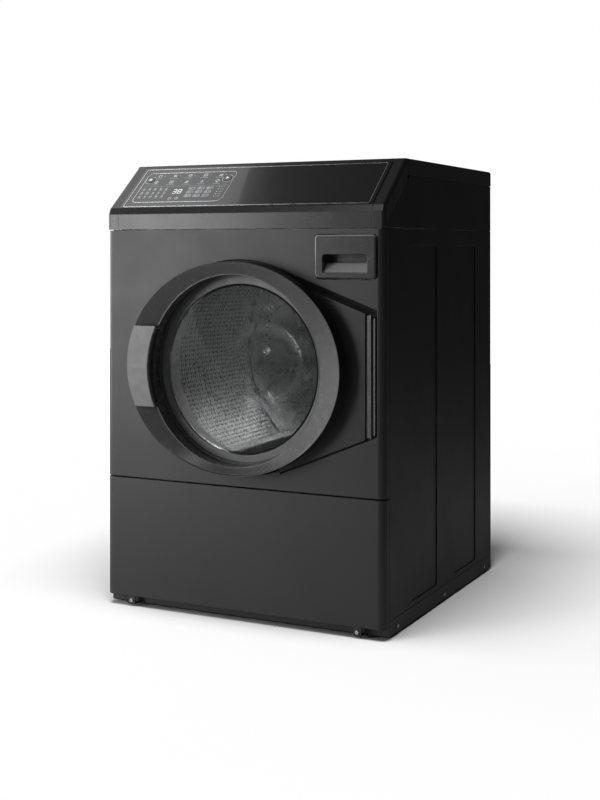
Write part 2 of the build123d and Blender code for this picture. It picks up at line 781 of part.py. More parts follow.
def drum_throat():
    """The fixed tube that the laundry passes through, with the lamp's window."""
    outer = throat_radius + sheet
    return pipe_y(0, door_centre_z, outer, throat_radius, throat_front, drum_front - 4) - lamp_block(0)


def drum_felt_seal():
    inner = throat_radius + sheet
    return pipe_y(0, door_centre_z, inner + felt_thickness, inner,
                  drum_front - 6 - felt_length, drum_front - 6)


def rear_bulkhead():
    """The rear wall inside, with the air inlet behind the drum and a seat for the bearing."""
    wall = bulkhead_plate(rear_bulkhead_y, rear_bulkhead_top)
    wall -= rod_y(duct_x, duct_z, duct_radius + 1, rear_bulkhead_y - 1, rear_bulkhead_y + 5)
    wall -= rod_y(0, door_centre_z, bearing_outer_radius, rear_bulkhead_y - 1, rear_bulkhead_y + 5)
    for i in range(12):
        angle = radians(30 * i)
        x, z = 88 * cos(angle), door_centre_z + 88 * sin(angle)
        wall -= rod_y(x, z, 17, rear_bulkhead_y - 1, rear_bulkhead_y + 5)
    return wall


def rear_bearing():
    """The bearing carrier on the rear bulkhead."""
    seat = pipe_y(0, door_centre_z, bearing_outer_radius, drum_shaft_radius + bearing_clearance,
                  rear_bulkhead_y - 8, rear_bulkhead_y + 24)
    flange = pipe_y(0, door_centre_z, bearing_outer_radius + 12, bearing_outer_radius - 1,
                    rear_bulkhead_y + sheet, rear_bulkhead_y + sheet + 3)
    return seat + flange


def heater_housing():
    """A round pan over the inlet, open to the drum, with air slots in its rim."""
    front = rear_bulkhead_y + sheet
    pan = pipe_y(0, door_centre_z, heater_inner_radius + sheet, heater_inner_radius,
                 front, front + heater_depth)
    pan += pipe_y(0, door_centre_z, heater_inner_radius + 14, heater_inner_radius, front, front + sheet)
    pan += rod_y(0, door_centre_z, heater_inner_radius + sheet,
                 front + heater_depth - sheet, front + heater_depth)
    for i in range(16):
        cutter = block(heater_inner_radius - 4, heater_inner_radius + 5, front + 14, front + 32, -6, 6)
        pan -= Pos(0, 0, door_centre_z) * Rot(0, 22.5 * i, 0) * cutter
    return pan


def heater_element():
    """Three rings of heating rod on radial supports."""
    y = rear_bulkhead_y + 24
    coils = None
    for radius in heater_turn_radii:
        ring = Pos(0, y, door_centre_z) * Rot(90, 0, 0) * Torus(radius, heater_wire)
        coils = ring if coils is None else coils + ring
    for i in range(4):
        bar = block(heater_turn_radii[0] - 6, heater_inner_radius - shaft_clearance, y - 2, y + 2, -3, 3)
        coils += Pos(0, 0, door_centre_z) * Rot(0, 33.75 + 90 * i, 0) * bar
    return coils


# ---- air path ----
def blower_housing():
    """The fan casing at the front end of the motor, with its outlet box towards the duct."""
    back = blower_front + blower_depth
    half = duct_radius + 3
    casing = rod_y(blower_x, blower_z, blower_radius, blower_front, back)
    casing += block(duct_x - half, blower_x, blower_front, back, duct_z - half, duct_z + half)
    hollow = rod_y(blower_x, blower_z, blower_radius - 2, blower_front + 2, back - 2)
    hollow += block(duct_x - half + 2, blower_x, blower_front + 2, back - 2,
                    duct_z - half + 2, duct_z + half - 2)
    casing -= hollow
    casing -= rod_y(blower_x, blower_z, blower_eye, blower_front - 1, blower_front + 3)
    casing -= rod_y(duct_x, duct_z, duct_radius - 2 * duct_wall, back - 3, back + 1)
    return casing - rod_y(blower_x, blower_z, 18, back - 3, back + 1)


def blower_wheel():
    """A back plate, a hub and a ring of blades."""
    back = blower_front + blower_depth - 10
    front = blower_front + 8
    wheel = rod_y(blower_x, blower_z, blower_wheel_radius, back - 2, back)
    wheel += rod_y(blower_x, blower_z, 14, front + 20, back)
    wheel += pipe_y(blower_x, blower_z, blower_wheel_radius, blower_wheel_radius - 10, front, front + 2)
    for i in range(blower_blades):
        blade = block(blower_wheel_radius - 12, blower_wheel_radius - 1, front, back, -1, 1)
        turn = Rot(0, 360 / blower_blades * i, 0)
        wheel += Pos(blower_x, 0, blower_z) * turn * blade
    return wheel - rod_y(blower_x, blower_z, motor_shaft_radius, front, back + 1)


def exhaust_duct():
    """The round duct from the fan to the back, with a wider stub outside."""
    start = blower_front + blower_depth
    bore = duct_radius - 2 * duct_wall
    duct = pipe_y(duct_x, duct_z, duct_radius - duct_wall, bore, start, cabinet_depth)
    return duct + pipe_y(duct_x, duct_z, duct_radius, bore, cabinet_depth, cabinet_depth + duct_stub)


def lint_chute():
    """The flat duct from the lint drawer down to the fan's eye."""
    upper = block(chute_left, chute_right, chute_front, chute_back, 180, tray_bottom - guide_gap)
    lower = block(blower_x - 56, chute_right, chute_front, blower_front - 0.2, blower_z - 50, 220)
    upper_hollow = block(chute_left + 1.5, chute_right - 1.5, chute_front + 1.5, chute_back - 1.5,
                         170, tray_bottom + 47)
    lower_hollow = block(blower_x - 54.5, chute_right - 1.5, chute_front + 1.5, blower_front - 1.7,
                         blower_z - 48.5, 218.5)
    chute = upper + lower - upper_hollow - lower_hollow
    return chute - rod_y(blower_x, blower_z, blower_eye, blower_front - 5, blower_front + 1)


# ---- lint drawer ----
def lint_drawer_front():
    """The drawer's front: a rounded block with a finger pocket and its sloped lip."""
    face = plate_y(rounded(drawer_left, drawer_right, drawer_bottom, drawer_top, drawer_radius),
                   -drawer_proud, pocket_depth + 6)
    rim = face.edges().group_by(Axis.Y)[0]
    face = fillet(rim, drawer_edge)
    pocket = rounded(pocket_left, pocket_right, pocket_bottom, pocket_top, 6)
    deep = rounded(pocket_left, pocket_right, pocket_bottom + 14, pocket_top + 12, 6)
    face -= plate_y(pocket, -drawer_proud - 1, pocket_depth)
    face -= plate_y(deep, 2, pocket_depth)
    lip = outline((-drawer_proud + 2.5, pocket_bottom - 2), (pocket_depth + 1, pocket_bottom - 2),
                  (pocket_depth + 1, pocket_bottom + 24), (pocket_depth - 8, pocket_bottom + 22),
                  (-drawer_proud + 4, pocket_bottom + 3))
    return face + plate_x(lip, pocket_left + 1, pocket_right - 1)


def lint_tray():
    """The tray behind the drawer's front, with an open bottom grid."""
    front = pocket_depth + 6
    tray = block(tray_left, tray_right, front, tray_back, tray_bottom, tray_top)
    tray -= block(tray_left + tray_wall, tray_right - tray_wall, front + tray_wall, tray_back - tray_wall,
                  tray_bottom + tray_wall, tray_top + 1)
    for i in range(5):
        y = 50.0 + 54 * i
        tray -= block(tray_left + 10, tray_right - 10, y, y + 44, tray_bottom - 1, tray_bottom + tray_wall + 1)
    return tray


def lint_screen():
    """The screen in the tray: a frame with fine bars."""
    left, right = tray_left + tray_wall + 1, tray_right - tray_wall - 1
    front, back = pocket_depth + 6 + tray_wall + 1, tray_back - tray_wall - 1
    low = tray_bottom + tray_wall
    screen = block(left, right, front, back, low, low + 4)
    screen -= block(left + 5, right - 5, front + 5, back - 5, low - 1, low + 5)
    for i in range(1, 28):
        y = front + (back - front) / 28 * i
        screen += block(left + 4, right - 4, y - 0.6, y + 0.6, low + 1, low + 2.5)
    return screen


def lint_drawer_guide():
    """The sleeve that the tray slides in, open to the chute below."""
    gap = tray_clearance
    front = front_bulkhead_y + sheet + 0.2
    back = tray_back + 4
    outer = block(tray_left - guide_gap, tray_right + guide_gap, front, back,
                  tray_bottom - guide_gap, tray_top + guide_gap)
    inner = block(tray_left - gap, tray_right + gap, front - 1, back - 1.5, tray_bottom - gap, tray_top + gap)
    sleeve = outer - inner
    return sleeve - block(tray_left + 3, tray_right - 3, chute_front + 2, chute_back - 2,
                          tray_bottom - 5, tray_bottom)


# ---- drive ----
def motor_stator():
    """The motor casing with bored end plates and two feet rings."""
    back = motor_front + motor_length
    casing = rod_y(blower_x, blower_z, motor_radius, motor_front, back)
    casing -= rod_y(blower_x, blower_z, 40, motor_front + 14, back - 14)
    casing -= rod_y(blower_x, blower_z, motor_shaft_radius + shaft_clearance, motor_front - 1, back + 1)
    casing += pipe_y(blower_x, blower_z, motor_shaft_radius + 10, motor_shaft_radius + shaft_clearance,
                     motor_front - 6, motor_front)
    for i in range(12):
        slot = block(motor_radius - 8, motor_radius + 1, motor_front + 30, back - 30, -3, 3)
        casing -= Pos(blower_x, 0, blower_z) * Rot(0, 30 * i + 15, 0) * slot
    return casing


def motor_rotor():
    """The rotor core on its shaft, with the belt pulley at the rear end."""
    front = blower_front + 28
    rotor = rod_y(blower_x, blower_z, motor_shaft_radius, front, belt_y + belt_width)
    rotor += rod_y(blower_x, blower_z, 38, motor_front + 20, motor_front + motor_length - 20)
    half = belt_width / 2 + 1
    rotor += rod_y(blower_x, blower_z, pulley_radius, belt_y - half, belt_y + half)
    for y in (belt_y - half - 2, belt_y + half):
        rotor += rod_y(blower_x, blower_z, pulley_radius + 5, y, y + 2)
    return rotor


def motor_bracket():
    """The plate on the base that cradles the motor and carries the idler's pivot and the spring's post."""
    low = base_top
    plate = block(spring_x - 16, blower_x + 70, 204, 440, low, low + 2)
    for y in (motor_front + 12, motor_front + motor_length - 16):
        plate += block(blower_x - 60, blower_x + 60, y, y + 4, low, blower_z - 20)
    plate -= rod_y(blower_x, blower_z, motor_radius, 190, 380)
    arm_back = arm_front + arm_thickness
    plate += block(idler_pivot_x - 12, idler_pivot_x + 12, arm_back + 6, arm_back + 10, low, idler_pivot_z + 12)
    plate += rod_y(idler_pivot_x, idler_pivot_z, idler_pin_radius, arm_front - 2, arm_back + 6)
    plate += block(spring_x - 8, spring_x + 8, spring_y - 8, spring_y + 8, low, low + 5)
    return plate


def belt_loop(grow):
    """The belt's loop at a distance outside its pulleys, as a face in X and Z."""
    circles = [Pos(0, door_centre_z) * Circle(drum_outer + running_gap + grow),
               Pos(blower_x, blower_z) * Circle(pulley_radius + running_gap + grow),
               Pos(idler_x, idler_z) * Circle(idler_radius + running_gap + grow)]
    edges = [edge for circle in circles for edge in circle.edges()]
    return make_hull(edges)


def drive_belt():
    start = belt_y - belt_width / 2
    return plate_y(belt_loop(belt_thickness), start, start + belt_width) - \
        plate_y(belt_loop(0), start - 1, start + belt_width + 1)


def idler_arm():
    """The lever that carries the idler wheel, bored for its pivot."""
    run_x, run_z = idler_x - idler_pivot_x, idler_z - idler_pivot_z
    length = hypot(run_x, run_z)
    shape = SlotCenterToCenter(length, 20)
    turn = degrees(atan2(run_z, run_x))
    centre = Pos((idler_x + idler_pivot_x) / 2, (idler_z + idler_pivot_z) / 2)
    arm = plate_y(centre * Rot(0, 0, turn) * shape, arm_front, arm_front + arm_thickness)
    arm += rod_y(idler_x, idler_z, idler_pin_radius, belt_y - belt_width / 2 - 4, arm_front)
    arm -= rod_y(idler_pivot_x, idler_pivot_z, idler_pin_radius + shaft_clearance, arm_front - 1, arm_front + 9)
    hook_z = spring_top
    arm += rod_y(spring_x, hook_z, 3, arm_front + arm_thickness, spring_y + 6)
    return arm


def idler_wheel():
    half = belt_width / 2
    wheel = rod_y(idler_x, idler_z, idler_radius, belt_y - half, belt_y + half)
    return wheel - rod_y(idler_x, idler_z, idler_pin_radius + shaft_clearance, belt_y - 20, belt_y + 20)


def idler_spring():
    """The tension spring between the base bracket and the arm."""
    low = base_top + 5.2
    height = spring_top - 3.2 - low
    path = Helix(pitch=height / spring_turns, height=height - 2 * spring_wire, radius=spring_radius)
    start = Plane(path @ 0, z_dir=path % 0)
    coil = sweep(start * Circle(spring_wire), path=path)
    return Pos(spring_x, spring_y, low + spring_wire) * coil


def roller_place(side):
    angle = radians(roller_angle)
    return side * roller_reach * sin(angle), door_centre_z - roller_reach * cos(angle)


def support_roller(side):
    """A grooved roller under the drum's front end."""
    x, z = roller_place(side)
    back = roller_front + roller_width
    roller = rod_y(x, z, roller_radius, roller_front, back)
    roller -= pipe_y(x, z, roller_radius - 6, roller_shaft_radius + 6, roller_front - 1, roller_front + 3)
    roller -= pipe_y(x, z, roller_radius - 6, roller_shaft_radius + 6, back - 3, back + 1)
    return roller - rod_y(x, z, roller_shaft_radius + shaft_clearance, roller_front - 1, back + 1)


def roller_shafts():
    """The two fixed shafts on the front bulkhead."""
    shafts = None
    for side in (-1, 1):
        x, z = roller_place(side)
        shaft = rod_y(x, z, roller_shaft_radius, front_bulkhead_y + sheet, roller_front + roller_width + 8)
        shaft += rod_y(x, z, roller_shaft_radius + 4, front_bulkhead_y + sheet, roller_front - 1)
        shafts = shaft if shafts is None else shafts + shaft
    return shafts


# ---- small pieces ----
def door_catch():
    """The magnetic catch with its reed switch, on the outside of the throat."""
    left = -throat_radius - sheet
    body = block(left - 18, left + 2, 22, 38, mouth_centre_z - 16, mouth_centre_z + 16)
    return body - rod_y(0, door_centre_z, throat_radius + sheet, 0, 90)


def drum_lamp():
    """The lamp on top of the throat, its lens flush with the throat's inside."""
    return lamp_block(0) - rod_y(0, door_centre_z, throat_radius, 40, 90)


def terminal_block():
    back = cabinet_depth - sheet
    x0, x1 = terminal_x - terminal_width / 2, terminal_x + terminal_width / 2
    z0, z1 = terminal_z - terminal_height / 2, terminal_z + terminal_height / 2
    body = block(x0, x1, back - 20, back, z0, z1)
    for i in range(3):
        x = x0 + terminal_width / 4 * (i + 1)
        body += rod_y(x, terminal_z, 5, back - 26, back - 20)
    return body


def levelling_leg(x, y):
    """A threaded foot: pad, hexagon and stem."""
    pad = Pos(x, y, base_gap / 2 - 0.1) * Cylinder(leg_pad_radius, base_gap - 0.2)
    pad = fillet(pad.edges().filter_by(GeomType.CIRCLE), 1.2)
    stem = Pos(x, y, leg_stem_length / 2 + 2) * Cylinder(leg_stem_radius, leg_stem_length - 4)
    return pad + stem


def screw_y(x, z, face, sign):
    """A pan-head screw into a face across Y; sign is where its head points."""
    head = rod_y(x, z, screw_head_radius, *sorted((face, face + sign * screw_head_height)))
    shank = rod_y(x, z, screw_shank_radius, *sorted((face, face - sign * 6)))
    return head + shank


def screw_x(y, z, side):
    """A pan-head screw into the side rail."""
    face = side * half_width
    head = Pos(face + side * screw_head_height / 2, y, z) * Rot(0, 90, 0) * Cylinder(screw_head_radius,
                                                                                     screw_head_height)
    shank = Pos(face - side * 3, y, z) * Rot(0, 90, 0) * Cylinder(screw_shank_radius, 6)
    return head + shank


def rear_screw_places():
    return [(x, z) for x in (-rear_screw_x, rear_screw_x) for z in rear_screw_z]


def cabinet_screws():
    """Toe, side and rear screws."""
    screws = [screw_x(y, side_screw_z, side) for side in (-1, 1) for y in side_screw_y]
    screws += [screw_y(x, toe_screw_z, 3, -1) for x in (-tab_x, tab_x)]
    screws += [screw_y(x, z, cabinet_depth, 1) for x, z in rear_screw_places()]
    return Compound(children=[solid for screw in screws for solid in screw.solids()])


def moved(shape):
    return Pos(0, front_shift, 0) * shape


def parts():
    """Every piece by name."""
    pieces = {
        "side_panels": side_panel(-1) + side_panel(1),
        "upper_side_panels": upper_side_panels(),
        "rear_panel": rear_panel(),
        "top_cover": top_cover(),
        "front_panel": front_panel(),
        "lower_panel": lower_panel(),
        "base_frame": base_frame(),
        "console_housing": console_housing(),
        "end_caps": end_cap(-1) + end_cap(1),
        "control_fascia": control_fascia(),
        "fascia_trim": fascia_trim(),
        "display_window": display_window(),
        "control_board": control_board(),
        "door_outer_panel": door_outer_panel(),
        "door_trim_ring": door_trim_ring(),
        "door_handle": door_handle(),
        "door_inner_panel": door_inner_panel(),
        "door_glass": door_glass(),
        "door_gasket": door_gasket(),
        "hinge_door_leaf": hinge_door_leaf(),
        "hinge_frame_leaf": hinge_frame_leaf(),
        "hinge_pin": hinge_pin(),
        "drum_cylinder": drum_cylinder(),
        "drum_rear_head": drum_rear_head(),
        "drum_lifters": drum_lifters(),
        "front_bulkhead": front_bulkhead(),
        "drum_throat": drum_throat(),
        "drum_felt_seal": drum_felt_seal(),
        "rear_bulkhead": rear_bulkhead(),
        "rear_bearing": rear_bearing(),
        "heater_housing": heater_housing(),
        "heater_element": heater_element(),
        "blower_housing": blower_housing(),
        "blower_wheel": blower_wheel(),
        "exhaust_duct": exhaust_duct(),
        "lint_chute": lint_chute(),
        "lint_drawer_front": lint_drawer_front(),
        "lint_tray": lint_tray(),
        "lint_screen": lint_screen(),
        "lint_drawer_guide": lint_drawer_guide(),
        "motor_stator": motor_stator(),
        "motor_rotor": motor_rotor(),
        "motor_bracket": motor_bracket(),
        "drive_belt": drive_belt(),
        "idler_arm": idler_arm(),
        "idler_wheel": idler_wheel(),
        "idler_spring": idler_spring(),
        "support_roller_left": support_roller(-1),
        "support_roller_right": support_roller(1),
        "roller_shafts": roller_shafts(),
        "door_catch": door_catch(),
        "drum_lamp": drum_lamp(),
        "terminal_block": terminal_block(),
        "cabinet_screws": cabinet_screws(),
    }
    for name, x in key_positions.items():
        pieces[name] = key(x)
    for end, y in (("front", leg_front_y), ("rear", cabinet_depth - leg_front_y)):
        for side, x in (("left", -leg_x), ("right", leg_x)):
            pieces[f"{end}_{side}_leg"] = levelling_leg(x, y)
    return pieces


os.makedirs("parts", exist_ok=True)
for name, shape in parts().items():
    export_step(moved(shape), f"parts/{name}.step")
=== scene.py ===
import json
from math import atan2, cos, pi, radians, sin

import bpy
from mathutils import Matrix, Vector


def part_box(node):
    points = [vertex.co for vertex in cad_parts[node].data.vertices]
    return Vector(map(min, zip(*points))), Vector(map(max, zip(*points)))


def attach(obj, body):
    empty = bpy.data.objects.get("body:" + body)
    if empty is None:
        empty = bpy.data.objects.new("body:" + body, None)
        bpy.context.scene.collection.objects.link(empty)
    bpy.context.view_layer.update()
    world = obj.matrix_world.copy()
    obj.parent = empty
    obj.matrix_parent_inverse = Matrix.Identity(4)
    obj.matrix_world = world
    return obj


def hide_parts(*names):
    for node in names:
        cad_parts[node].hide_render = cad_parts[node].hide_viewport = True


# Clothes dryer: materials, drum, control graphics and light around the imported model.
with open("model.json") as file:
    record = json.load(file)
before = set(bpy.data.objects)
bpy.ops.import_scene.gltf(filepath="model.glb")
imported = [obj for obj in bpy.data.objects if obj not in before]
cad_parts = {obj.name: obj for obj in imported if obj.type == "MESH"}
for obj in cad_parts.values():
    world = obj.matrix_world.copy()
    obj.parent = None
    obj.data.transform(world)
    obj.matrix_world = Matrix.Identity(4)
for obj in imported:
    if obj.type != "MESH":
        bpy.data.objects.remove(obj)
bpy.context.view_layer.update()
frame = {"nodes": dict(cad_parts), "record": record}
nodes = frame["nodes"]

# ---- places, in metres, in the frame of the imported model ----
front_plane = -0.329                       # face of the front panel
drum_z = 0.548
drum_low, drum_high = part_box("drum_cylinder")
drum_outer = drum_high[0]
drum_inner = drum_outer - 0.0012
head_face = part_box("drum_rear_head")[0][1]
slope_foot = Vector((0, front_plane + 0.004, 0.897))
slope_angle = atan2(0.103, 0.122)
slope_up = Vector((0, cos(slope_angle), sin(slope_angle)))
slope_out = Vector((0, -sin(slope_angle), cos(slope_angle)))
fascia_top = 0.0016


# ---- shader building ----
class Shader:
    """A material with one Principled shader and small helpers for its procedural detail."""

    def __init__(self, name):
        self.material = bpy.data.materials.new(name)
        self.material.use_nodes = True
        self.tree = self.material.node_tree
        self.tree.nodes.clear()
        self.out = self.tree.nodes.new("ShaderNodeOutputMaterial")
        self.main = self.tree.nodes.new("ShaderNodeBsdfPrincipled")
        self.tree.links.new(self.main.outputs[0], self.out.inputs[0])
        self.place = self.tree.nodes.new("ShaderNodeTexCoord").outputs["Object"]

    def set(self, **values):
        for key, value in values.items():
            self.main.inputs[key.replace("_", " ")].default_value = value
        return self

    def link(self, start, end):
        self.tree.links.new(start, end)

    def stretched(self, scale):
        node = self.tree.nodes.new("ShaderNodeMapping")
        node.inputs["Scale"].default_value = scale
        self.link(self.place, node.inputs[0])
        return node.outputs[0]

    def noise(self, scale, detail=3.0, rough=0.55, stretch=None):
        node = self.tree.nodes.new("ShaderNodeTexNoise")
        node.inputs["Scale"].default_value = scale
        node.inputs["Detail"].default_value = detail
        node.inputs["Roughness"].default_value = rough
        self.link(self.stretched(stretch) if stretch else self.place, node.inputs["Vector"])
        return node.outputs["Fac"]

    def cells(self, scale, stretch=None):
        node = self.tree.nodes.new("ShaderNodeTexVoronoi")
        node.inputs["Scale"].default_value = scale
        self.link(self.stretched(stretch) if stretch else self.place, node.inputs["Vector"])
        return node.outputs["Distance"]

    def spread(self, value, low, high, start=0.3, end=0.7):
        node = self.tree.nodes.new("ShaderNodeMapRange")
        node.inputs["From Min"].default_value = start
        node.inputs["From Max"].default_value = end
        node.inputs["To Min"].default_value = low
        node.inputs["To Max"].default_value = high
        self.link(value, node.inputs["Value"])
        return node.outputs["Result"]

    def blend(self, value, first, second, start=0.3, end=0.7):
        node = self.tree.nodes.new("ShaderNodeMix")
        node.data_type = "RGBA"
        node.inputs[6].default_value = (*first, 1)
        node.inputs[7].default_value = (*second, 1)
        self.link(self.spread(value, 0, 1, start, end), node.inputs[0])
        return node.outputs[2]

    def colour(self, value):
        self.link(value, self.main.inputs["Base Color"])
        return self

    def rough(self, value):
        self.link(value, self.main.inputs["Roughness"])
        return self

    def relief(self, value, strength, depth, edge=0.0):
        bump = self.tree.nodes.new("ShaderNodeBump")
        bump.inputs["Strength"].default_value = strength
        bump.inputs["Distance"].default_value = depth
        self.link(value, bump.inputs["Height"])
        if edge:
            self.link(self.soft_edge(edge), bump.inputs["Normal"])
        self.link(bump.outputs[0], self.main.inputs["Normal"])
        return self

    def soft_edge(self, radius):
        node = self.tree.nodes.new("ShaderNodeBevel")
        node.samples = 4
        node.inputs["Radius"].default_value = radius
        return node.outputs[0]


def grey(value, warm=0.0):
    return (value * (1 + warm), value, value * (1 - warm))


def painted(name, tone, rough, edge=0.0012, grain=1400.0, strength=0.12):
    """Powder coat: fine orange peel, faint cloudiness, softened edges."""
    s = Shader(name).set(Metallic=0.0, IOR=1.5)
    s.colour(s.blend(s.noise(3.5, 4), grey(tone * 0.92), grey(tone * 1.08)))
    s.rough(s.spread(s.noise(9, 5), rough - 0.03, rough + 0.04))
    return s.relief(s.noise(grain, 2), strength, 0.00012, edge).material


def moulded(name, tone, rough, edge=0.0008, grain=2600.0, strength=0.1, coat=0.0, warm=0.0):
    """Moulded plastic with a spark-eroded grain."""
    s = Shader(name).set(IOR=1.48, Coat_Weight=coat, Coat_Roughness=0.12)
    s.colour(s.blend(s.noise(24, 3), grey(tone * 0.93, warm), grey(tone * 1.07, warm)))
    s.rough(s.spread(s.noise(60, 4), rough - 0.03, rough + 0.05))
    return s.relief(s.cells(grain), strength, 0.00006, edge).material


def drawer_plastic(name):
    """Glossy black plastic with a painted highlight: upward faces, such as the pocket's ramp, are given a
    lighter grey for the light falling on them.
    """
    s = Shader(name).set(IOR=1.5, Coat_Weight=0.5, Coat_Roughness=0.1)
    parts = s.tree.nodes.new("ShaderNodeSeparateXYZ")
    s.link(s.tree.nodes.new("ShaderNodeTexCoord").outputs["Normal"], parts.inputs[0])
    # Painted highlight: faces that point up get light grey 0.34, the rest stay near black 0.045.
    s.colour(s.blend(parts.outputs["Z"], grey(0.045), grey(0.34), 0.25, 0.4))
    s.rough(s.spread(s.noise(60, 4), 0.22, 0.28))
    return s.relief(s.cells(2600), 0.04, 0.00006, 0.002).material


def metal(name, tone, rough, stretch, strength=0.1, spread=0.08, edge=0.0005):
    """Sheet or turned metal with a directional grain."""
    s = Shader(name).set(Metallic=1.0)
    lines = s.noise(60, 6, 0.7, stretch)
    s.colour(s.blend(lines, grey(tone * 0.86), grey(tone * 1.08)))
    s.rough(s.spread(lines, rough - spread / 2, rough + spread))
    return s.relief(lines, strength, 0.0001, edge).material


def galvanised(name):
    s = Shader(name).set(Metallic=1.0)
    spangle = s.cells(70)
    s.colour(s.blend(spangle, grey(0.42), grey(0.6), 0.1, 0.8))
    s.rough(s.spread(spangle, 0.32, 0.5, 0.1, 0.8))
    return s.relief(s.noise(300, 3), 0.08, 0.0001).material


def glossy(name, tone, rough=0.06):
    """Clear-coated sheet with a barely visible flow in its gloss."""
    s = Shader(name).set(IOR=1.5, Coat_Weight=0.4, Coat_Roughness=0.03)
    s.colour(s.blend(s.noise(14, 2), grey(tone * 0.95), grey(tone * 1.05)))
    s.rough(s.spread(s.noise(40, 3), rough, rough + 0.04))
    return s.relief(s.noise(18, 2), 0.02, 0.0003, 0.0004).material


def rubber(name, tone, rough=0.55, strength=0.25):
    s = Shader(name).set(IOR=1.52)
    s.colour(s.blend(s.noise(90, 4), grey(tone * 0.85), grey(tone * 1.15)))
    s.rough(s.spread(s.noise(50, 3), rough - 0.06, rough + 0.08))
    return s.relief(s.noise(900, 3), strength, 0.0002, 0.0006).material


def clear_glass(name):
    """Clear glass that lets light through to what is behind it."""
    s = Shader(name).set(Transmission_Weight=1.0, IOR=1.45)
    s.main.inputs["Specular IOR Level"].default_value = 0.3
    s.colour(s.blend(s.noise(6, 2), (0.93, 0.95, 0.95), (0.96, 0.975, 0.97)))
    s.rough(s.spread(s.noise(35, 3), 0.0, 0.01))
    open_way = s.tree.nodes.new("ShaderNodeBsdfTransparent")
    open_way.inputs[0].default_value = (0.86, 0.88, 0.88, 1)
    ray = s.tree.nodes.new("ShaderNodeLightPath")
    mix = s.tree.nodes.new("ShaderNodeMixShader")
    s.link(ray.outputs["Is Shadow Ray"], mix.inputs[0])
    s.link(s.main.outputs[0], mix.inputs[1])
    s.link(open_way.outputs[0], mix.inputs[2])
    s.link(mix.outputs[0], s.out.inputs[0])
    return s.material


def felt(name):
    s = Shader(name).set(Sheen_Weight=0.6, Sheen_Roughness=0.6)
    fibres = s.noise(700, 6, 0.8, (1, 3, 1))
    s.colour(s.blend(fibres, (0.34, 0.32, 0.28), (0.55, 0.52, 0.47)))
    s.rough(s.spread(fibres, 0.85, 0.98))
    return s.relief(fibres, 0.6, 0.0006).material


def screen(name):
    s = Shader(name)
    s.colour(s.blend(s.cells(420), grey(0.08), grey(0.55), 0.1, 0.5))
    s.rough(s.spread(s.noise(90, 2), 0.45, 0.6))
    return s.relief(s.cells(420), 0.5, 0.0005).material


def board_mask(name):
    s = Shader(name).set(IOR=1.5)
    s.colour(s.blend(s.cells(160), (0.012, 0.10, 0.045), (0.02, 0.17, 0.07), 0.2, 0.6))
    s.rough(s.spread(s.noise(80, 2), 0.3, 0.42))
    return s.relief(s.cells(160), 0.3, 0.0004).material


def lit(name, colour, strength):
    s = Shader(name).set(Emission_Strength=strength, Emission_Color=(*colour, 1), Roughness=0.4)
    s.colour(s.blend(s.noise(80, 2), tuple(c * 0.8 for c in colour), colour))
    return s.material


materials = {
    "body_paint": painted("body_paint", 0.022, 0.42),
    # Painted shade: the side panels use a darker copy of the body paint, standing in for the shade the side
    # sits in.
    "shaded_side_paint": painted("shaded_side_paint", 0.008, 0.42),
    "console_plastic": painted("console_plastic", 0.022, 0.26),
    "fascia_gloss": glossy("fascia_gloss", 0.006, 0.15),
    "silver_line": metal("silver_line", 0.62, 0.26, (1, 8, 8)),
    "display_glass": glossy("display_glass", 0.008),
    "board_green": board_mask("board_green"),
    "door_plastic": moulded("door_plastic", 0.017, 0.36),
    "trim_plastic": moulded("trim_plastic", 0.062, 0.25, edge=0.002, grain=3000, strength=0.04),
    "handle_plastic": moulded("handle_plastic", 0.075, 0.28, edge=0.0016, strength=0.05),
    "inner_plastic": moulded("inner_plastic", 0.06, 0.42),
    "glass": clear_glass("glass"),
    "gasket_rubber": rubber("gasket_rubber", 0.13, 0.42, 0.12),
    "hinge_steel": metal("hinge_steel", 0.13, 0.34, (1, 1, 9)),
    "drum_steel": metal("drum_steel", 0.60, 0.26, (1, 9, 1), 0.04),
    "lifter_steel": metal("lifter_steel", 0.52, 0.24, (1, 9, 1), 0.04),
    "zinc_sheet": galvanised("zinc_sheet"),
    "felt": felt("felt"),
    "bearing_steel": metal("bearing_steel", 0.46, 0.35, (9, 1, 9)),
    "heater_rod": metal("heater_rod", 0.2, 0.5, (3, 3, 3), 0.3),
    "duct_metal": metal("duct_metal", 0.72, 0.25, (2, 14, 2)),
    "fan_plastic": moulded("fan_plastic", 0.5, 0.42),
    "drawer_plastic": drawer_plastic("drawer_plastic"),
    "screen_mesh": screen("screen_mesh"),
    "motor_paint": painted("motor_paint", 0.08, 0.4, grain=600, strength=0.25),
    "shaft_steel": metal("shaft_steel", 0.55, 0.22, (6, 6, 1)),
    "belt_rubber": rubber("belt_rubber", 0.02),
    "roller_rubber": rubber("roller_rubber", 0.035),
    "lamp_lens": moulded("lamp_lens", 0.8, 0.3),
    "terminal_plastic": moulded("terminal_plastic", 0.03, 0.45),
    "key_plastic": glossy("key_plastic", 0.010, 0.16),
    "screw_zinc": metal("screw_zinc", 0.72, 0.2, (5, 5, 5)),
    "foot_plastic": moulded("foot_plastic", 0.03, 0.5),
    # Painted glow: the printed icons, captions and key marks are given emission so they read lighter; they are
    # not lamps.
    "icon_ink_painted_glow": lit("icon_ink_painted_glow", (0.62, 0.64, 0.67), 0.85),
    "icon_dim_painted_glow": lit("icon_dim_painted_glow", (0.40, 0.41, 0.43), 0.55),
    "digit_light": lit("digit_light", (0.9, 0.95, 1.0), 0.7),
    "hole_painted_shade": rubber("hole_painted_shade", 0.004, 0.7, 0.05),
}


def finish_nodes():
    """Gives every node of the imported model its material."""
    slots = {row["node"]: row["material_slot"] for row in frame["record"]["subparts"]}
    sides = ("side_panels", "upper_side_panels")
    for name, node in nodes.items():
        # Side panels get the darker copy of the body paint as painted shade; every other node gets its own
        # slot's material.
        material = materials["shaded_side_paint"] if name in sides else materials[slots[name]]
        if not node.material_slots:
            node.data.materials.append(material)
        for place in node.material_slots:
            place.material = material


